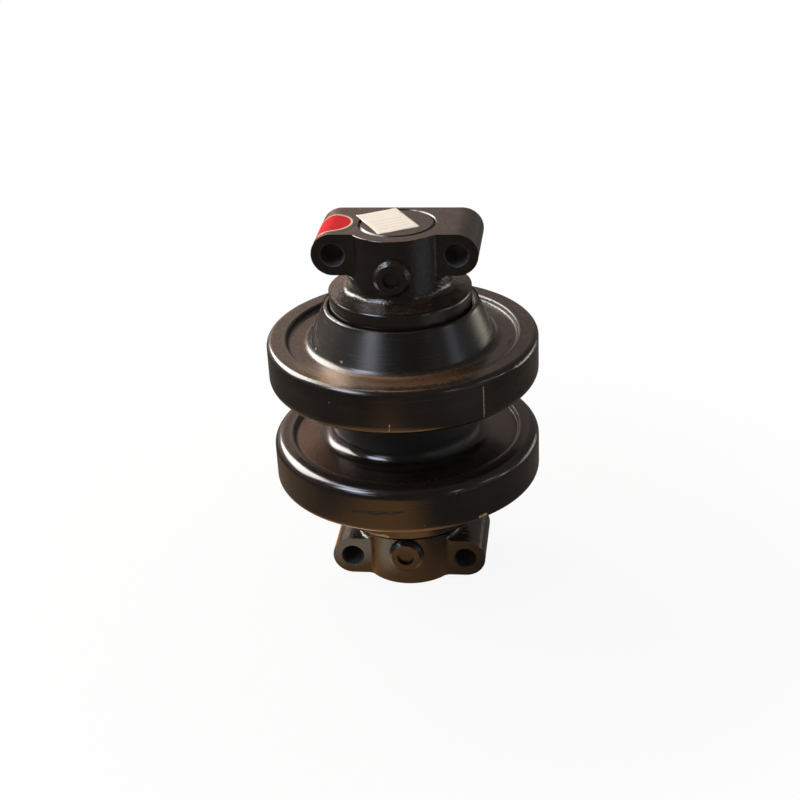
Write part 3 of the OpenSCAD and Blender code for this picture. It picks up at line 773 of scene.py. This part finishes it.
def on_lug(along, deep, lift):
    """Point on the left lug: along runs over its top, and from 0 on down round its end."""
    if along <= 0:
        return Vector((-lug_centre_x - along, deep, end_height + lift))
    angle, reach = along / LUG_RADIUS, LUG_RADIUS + lift
    return Vector((-lug_centre_x - reach * math.sin(angle), deep, lug_centre_z + reach * math.cos(angle)))


points, faces, inks = [on_lug(STICKER_ALONG, 0, FILM_LIFT * MM)], [], []
for n, (ring, lift, ink) in enumerate(STICKER_RINGS):
    first = 1 + n * AROUND
    for k in range(AROUND):
        t = 2 * math.pi * k / AROUND
        points.append(on_lug(STICKER_ALONG + ring * MM * math.cos(t), ring * MM * math.sin(t), lift * MM))
        here, beside = first + k, first + (k + 1) % AROUND
        faces.append((0, here, beside) if n == 0 else (here - AROUND, here, beside, beside - AROUND))
        inks.append(ink)
sticker = add_piece("round_sticker", points, faces, sticker_inks, "axle")
sticker.data.polygons.foreach_set("material_index", inks)
print("sticker", 2 * STICKER_RINGS[-1][0], "mm across,", len(points), "points")

# %% [markdown]
# The stage is the floor and what the roller mirrors. None of it is part of the roller.

# %% Pieces of the stage
DISC_STEPS = 128


def stage_piece(name, points, faces, material, matrix=None):
    """A mesh of the stage: the floor, a wall or a card."""
    mesh = bpy.data.meshes.new(name)
    mesh.from_pydata(points, [], faces)
    mesh.materials.append(material)
    piece = bpy.data.objects.new(name, mesh)
    bpy.context.scene.collection.objects.link(piece)
    if matrix:
        piece.matrix_world = matrix
    piece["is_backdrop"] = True
    return piece


def disc(name, inner, outer, height, material):
    """A flat ring about the roller's axis."""
    points = []
    for k in range(DISC_STEPS):
        a = 2 * math.pi * k / DISC_STEPS
        points += [(r * math.cos(a), r * math.sin(a), height) for r in (inner, outer)]
    count = len(points)
    faces = [(2 * k, 2 * k + 1, (2 * k + 3) % count, (2 * k + 2) % count) for k in range(DISC_STEPS)]
    return stage_piece(name, points, faces, material)


print("discs in", DISC_STEPS, "steps")

# %% [markdown]
# The floor is a pale disc. To the camera it is mostly its own white, so the picture's ground stays
# white out to its edge, and the rest is matt paint that takes the roller's soft shadow.

# %% Floor
WHITE_SHARE_NEAR, WHITE_SHARE_FAR, FADE_FROM, FADE_TO = 0.92, 1.0, 0.25, 0.7
FLOOR_RADIUS, FLOOR_BELOW, FLOOR_PAINT = 1.2, 0.2 * MM, linear("#f4f2ee")


def seen_directly(tree):
    """1 for the camera's own rays and for those that gloss or glass sends on, else 0."""
    path = add(tree, "LightPath").outputs
    direct = add(tree, "Math", {0: path["Is Camera Ray"], 1: path["Is Glossy Ray"]}, operation="MAXIMUM")
    seen = add(tree, "Math", {0: direct.outputs[0], 1: path["Is Transmission Ray"]}, operation="MAXIMUM")
    return seen.outputs[0]


matt_white = bpy.data.materials.new("matt_white_floor_paint")
tree = empty_tree(matt_white)
away = add(tree, "VectorMath", {0: add(tree, "TexCoord").outputs["Object"]}, operation="LENGTH")
fade = add(tree, "MapRange", {"Value": away.outputs["Value"], "From Min": FADE_FROM, "From Max": FADE_TO,
                              "To Min": WHITE_SHARE_NEAR, "To Max": WHITE_SHARE_FAR},
           interpolation_type="SMOOTHSTEP").outputs[0]
paint = add(tree, "BsdfDiffuse", {"Color": FLOOR_PAINT}).outputs[0]
white = add(tree, "Emission", {"Color": (1, 1, 1, 1), "Strength": 1}).outputs[0]
own_white = both(tree, seen_directly(tree), fade)
mixed = add(tree, "MixShader", {0: own_white, 1: paint, 2: white})
add(tree, "OutputMaterial", {"Surface": mixed.outputs[0]})
disc("floor", 0, FLOOR_RADIUS, -FLOOR_BELOW, matt_white)
print("floor", FLOOR_RADIUS, "m in radius")

# %% [markdown]
# Glossy black has hardly a colour of its own: its look is what it mirrors. So a workshop stands
# round the roller that only mirrors see. It is hidden from the camera, from matt surfaces and from
# shadows, and the picture keeps its white ground. Sides are counted in degrees round from the
# camera, to the right.

# %% A workshop for the mirror
LIGHT_DISTANCE = 2.0


def mirror_only(piece):
    """Hide a stage piece from all but mirrored rays."""
    piece.visible_camera = piece.visible_diffuse = piece.visible_transmission = False
    piece.visible_shadow = piece.visible_volume_scatter = False
    return piece


def glowing(name):
    """A material that only gives off light, with its emission and what passes it left to set."""
    material = bpy.data.materials.new(name)
    tree = empty_tree(material)
    glow = add(tree, "Emission")
    clear = add(tree, "BsdfTransparent", {"Color": (0, 0, 0, 1)})
    total = add(tree, "AddShader", {0: glow.outputs[0], 1: clear.outputs[0]})
    add(tree, "OutputMaterial", {"Surface": total.outputs[0]})
    return material, tree, glow.inputs, clear.inputs


def facing_roller(side, elevation):
    """Place of a panel that faces the roller's middle, with its local X across and Y upright."""
    toward = direction(CAMERA_AZIMUTH + math.radians(side), math.radians(elevation))
    across = Vector((0, 0, 1)).cross(toward).normalized()
    turn = Matrix((across, toward.cross(across), toward)).transposed().to_4x4()
    return Matrix.Translation(middle + toward * LIGHT_DISTANCE) @ turn


print("lights stand", LIGHT_DISTANCE, "m off")

# %% [markdown]
# Each card is a panel of light with soft edges, because a pane with hard edges would show as a hard
# rectangle on the cone. It adds its light to what lies behind it.

# %% Cards of light for the reflections


def card(name, side, elevation, width, height, strength, tint, soft):
    """A glowing panel whose light fades over the soft share of each half width."""
    material, tree, glow, clear = glowing(name)
    clear["Color"].default_value = (1, 1, 1, 1)
    parts = add(tree, "SeparateXYZ", {0: add(tree, "TexCoord").outputs["Object"]}).outputs
    fades = [band(tree, parts[axis], -(1 - soft) * size / 2, (1 - soft) * size / 2, soft * size / 2)
             for axis, size in (("X", width), ("Y", height))]
    tree.links.new(both(tree, *fades, strength), glow["Strength"])
    glow["Color"].default_value = (*tint, 1)
    corners = [(x * width / 2, y * height / 2, 0) for x, y in ((-1, -1), (1, -1), (1, 1), (-1, 1))]
    panel = stage_piece(name, corners, [(0, 1, 2, 3)], material, facing_roller(side, elevation))
    return mirror_only(panel)


# Each card: name, side and elevation in degrees, width and height in metres, strength, tint, soft share
CARDS = [
    ("window", -124, 37, 2.1, 1.4, 17, (1, 0.97, 0.92), 0.3),
    ("side_pane", -53, 38, 1.0, 0.9, 15, (0.84, 0.93, 1.15), 0.5),
    ("low_pane", -41, 19, 1.1, 0.6, 3.6, (0.95, 1, 1.12), 0.8),
    ("high_pane", -76, 56, 0.9, 0.6, 10, (0.9, 1, 1.12), 0.4),
    ("roof_lamp", -150, 72, 1.1, 0.8, 2.4, (1.65, 0.86, 0.45), 0.4),
    ("near_door", 66, 13, 0.7, 0.8, 1.5, (0.95, 1, 1.1), 0.8),
    ("far_door", 80, 0, 0.36, 0.4, 7, (0.92, 1, 1.12), 0.8),
    ("low_door", 119, 1, 1.4, 0.24, 3.4, (1.08, 1, 0.8), 0.5),
    ("hand_lamp", 37, 8, 0.22, 0.6, 7, (1, 0.97, 0.9), 0.8),
]
for row in CARDS:
    card(*row)
print(len(CARDS), "cards of light")

# %% [markdown]
# The ground in the mirror is dark, with patches where daylight falls. The warm ones in front of the
# roller are why the lower parts of the treads and of the lower collar look brown. A wide pale one
# lies behind it to the right.

# %% Mirrored ground
GROUND_DARK = (0.13, 0.108, 0.092, 1)
GROUND_HOLE, GROUND_RADIUS, GROUND_HEIGHT, PATCH_CORE = 0.03, 2.6, 1 * MM, 0.3
# Each patch of light: its centre, how far it reaches, both as across and away from the camera, its tone
GROUND_PATCHES = [
    ((-0.1, -0.2), (0.22, 0.5), (1.15, 0.58, 0.22, 1)),
    ((0, -0.19), (0.13, 0.09), (1.8, 0.95, 0.38, 1)),
    ((-0.08, -0.075), (0.06, 0.05), (2.3, 1.9, 1.45, 1)),
    ((1.4, 0.55), (0.75, 0.7), (5, 5, 4.3, 1)),
    ((0.85, -0.66), (0.6, 0.55), (0.55, 0.56, 0.6, 1)),
    ((-0.32, 0.05), (0.2, 0.25), (0.3, 0.21, 0.13, 1)),
]

ground, tree, glow, _ = glowing("dark_ground")
point = add(tree, "TexCoord").outputs["Object"]
tone = GROUND_DARK
for (across, away), (wide, long), light in GROUND_PATCHES:
    offset = add(tree, "VectorMath", {0: point, 1: (across, away, 0)}, operation="SUBTRACT").outputs[0]
    per_reach = (1 / wide, 1 / long, 0)
    offset = add(tree, "VectorMath", {0: offset, 1: per_reach}, operation="MULTIPLY").outputs[0]
    reach = add(tree, "VectorMath", {0: offset}, operation="LENGTH").outputs["Value"]
    lit = add(tree, "MapRange", {"Value": reach, "From Min": 1, "From Max": PATCH_CORE},
              interpolation_type="SMOOTHSTEP").outputs[0]
    tone = add(tree, "Mix", {0: lit, 6: tone, 7: light}, data_type="RGBA").outputs[2]
tree.links.new(tone, glow["Color"])
mirrored_ground = mirror_only(disc("mirrored_ground", GROUND_HOLE, GROUND_RADIUS, GROUND_HEIGHT, ground))
mirrored_ground.rotation_euler.z = CAMERA_AZIMUTH
print(len(GROUND_PATCHES), "patches of light on the mirrored ground")

# %% [markdown]
# The walls of the mirrored workshop change from side to side: dim in front and to the right,
# brighter and warm behind the roller, which is what the flat faces that look up mirror. A colour
# ramp round the axis says so in ten tones.

# %% Mirrored walls
WALL_BY_SIDE = [
    (-90, (0.35, 0.3, 0.27)), (-60, (0.12, 0.1, 0.09)), (25, (0.11, 0.1, 0.09)),
    (75, (0.25, 0.25, 0.25)), (130, (0.18, 0.17, 0.16)), (160, (0.28, 0.23, 0.2)),
    (172, (0.38, 0.31, 0.285)), (188, (0.8, 0.58, 0.48)), (205, (0.85, 0.62, 0.5)),
    (240, (0.5, 0.4, 0.33)),
]
TENT_RADIUS, TENT_TOP, WALL_FOOT, WALL_STEPS = 2.7, 3.2, -10 * MM, 96
# The ramp runs once round the axis, and -Y, the roller's front, lies a quarter of the way along it
FRONT_OF_RAMP = 0.25
ROOF_TONE = (0.2, 0.15, 0.11, 1)

wall, tree, glow, _ = glowing("workshop_wall")
turn = add(tree, "TexGradient", {"Vector": add(tree, "TexCoord").outputs["Object"]}, gradient_type="RADIAL")
ramp = add(tree, "ValToRGB", {"Fac": turn.outputs["Fac"]})
tree.links.new(ramp.outputs["Color"], glow["Color"])
camera_at = FRONT_OF_RAMP + CAMERA_AZIMUTH / (2 * math.pi)
stops = sorted(((camera_at + side / 360) % 1, tone) for side, tone in WALL_BY_SIDE)
elements = ramp.color_ramp.elements
while len(elements) < len(stops):
    elements.new(0.5)
for element, (at, tone) in zip(elements, stops):
    element.position, element.color = at, (*tone, 1)
points = []
for k in range(WALL_STEPS):
    a = 2 * math.pi * k / WALL_STEPS
    points += [(TENT_RADIUS * math.cos(a), TENT_RADIUS * math.sin(a), z) for z in (WALL_FOOT, TENT_TOP)]
count = len(points)
faces = [(2 * k, (2 * k + 2) % count, (2 * k + 3) % count, 2 * k + 1) for k in range(WALL_STEPS)]
mirror_only(stage_piece("workshop_wall", points, faces, wall))

roof, tree, glow, _ = glowing("workshop_roof")
glow["Color"].default_value = ROOF_TONE
mirror_only(disc("workshop_roof", 0, TENT_RADIUS, TENT_TOP, roof))
print("walls in", len(stops), "tones")

# %% [markdown]
# Two soft boxes and a pale sky light what is matt: paper, ink, dust and the floor. They are kept at
# a plain level, at which a colour comes out about as it is written, and they are hidden from the
# mirror, where the cards stand in their place.

# %% Lamps and sky
SKY_LEVEL = 0.35


def soft_box(name, side, elevation, width, height, brightness, tint):
    """An area lamp facing the roller, its power worked out from the brightness of its panel."""
    data = bpy.data.lights.new(name, "AREA")
    data.shape = "RECTANGLE"
    data.size, data.size_y = width, height
    data.energy = brightness * width * height * math.pi
    data.color = tint
    lamp = bpy.data.objects.new(name, data)
    bpy.context.scene.collection.objects.link(lamp)
    lamp.matrix_world = facing_roller(side, elevation)
    lamp.visible_camera = lamp.visible_glossy = False
    return lamp


soft_box("key_lamp", -124, 40, 1.6, 1.25, 5.4, (1, 0.98, 0.95))
soft_box("fill_lamp", -50, 40, 1.2, 1.0, 1.2, (0.95, 0.97, 1))

world = bpy.data.worlds.new("studio")
bpy.context.scene.world = world
tree = empty_tree(world)
level = add(tree, "MapRange", {"Value": seen_directly(tree), "To Min": SKY_LEVEL, "To Max": 1})
sky = add(tree, "Background", {"Color": (1, 1, 1, 1), "Strength": level.outputs[0]})
add(tree, "OutputWorld", {"Surface": sky.outputs[0]})
bpy.context.scene.view_settings.view_transform = "Standard"
print("two soft boxes and a sky at", SKY_LEVEL)

# %% [markdown]
# Last, the dressed roller is measured against the solids. The stickers stand a fraction of a
# millimetre proud and nothing else changes, so the two boxes agree to within a millimetre.

# %% Size
visual_low, visual_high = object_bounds()
grown = (visual_high - visual_low) - (cad_high - cad_low)
print("grown by, mm:", [round(v / MM, 2) for v in grown])
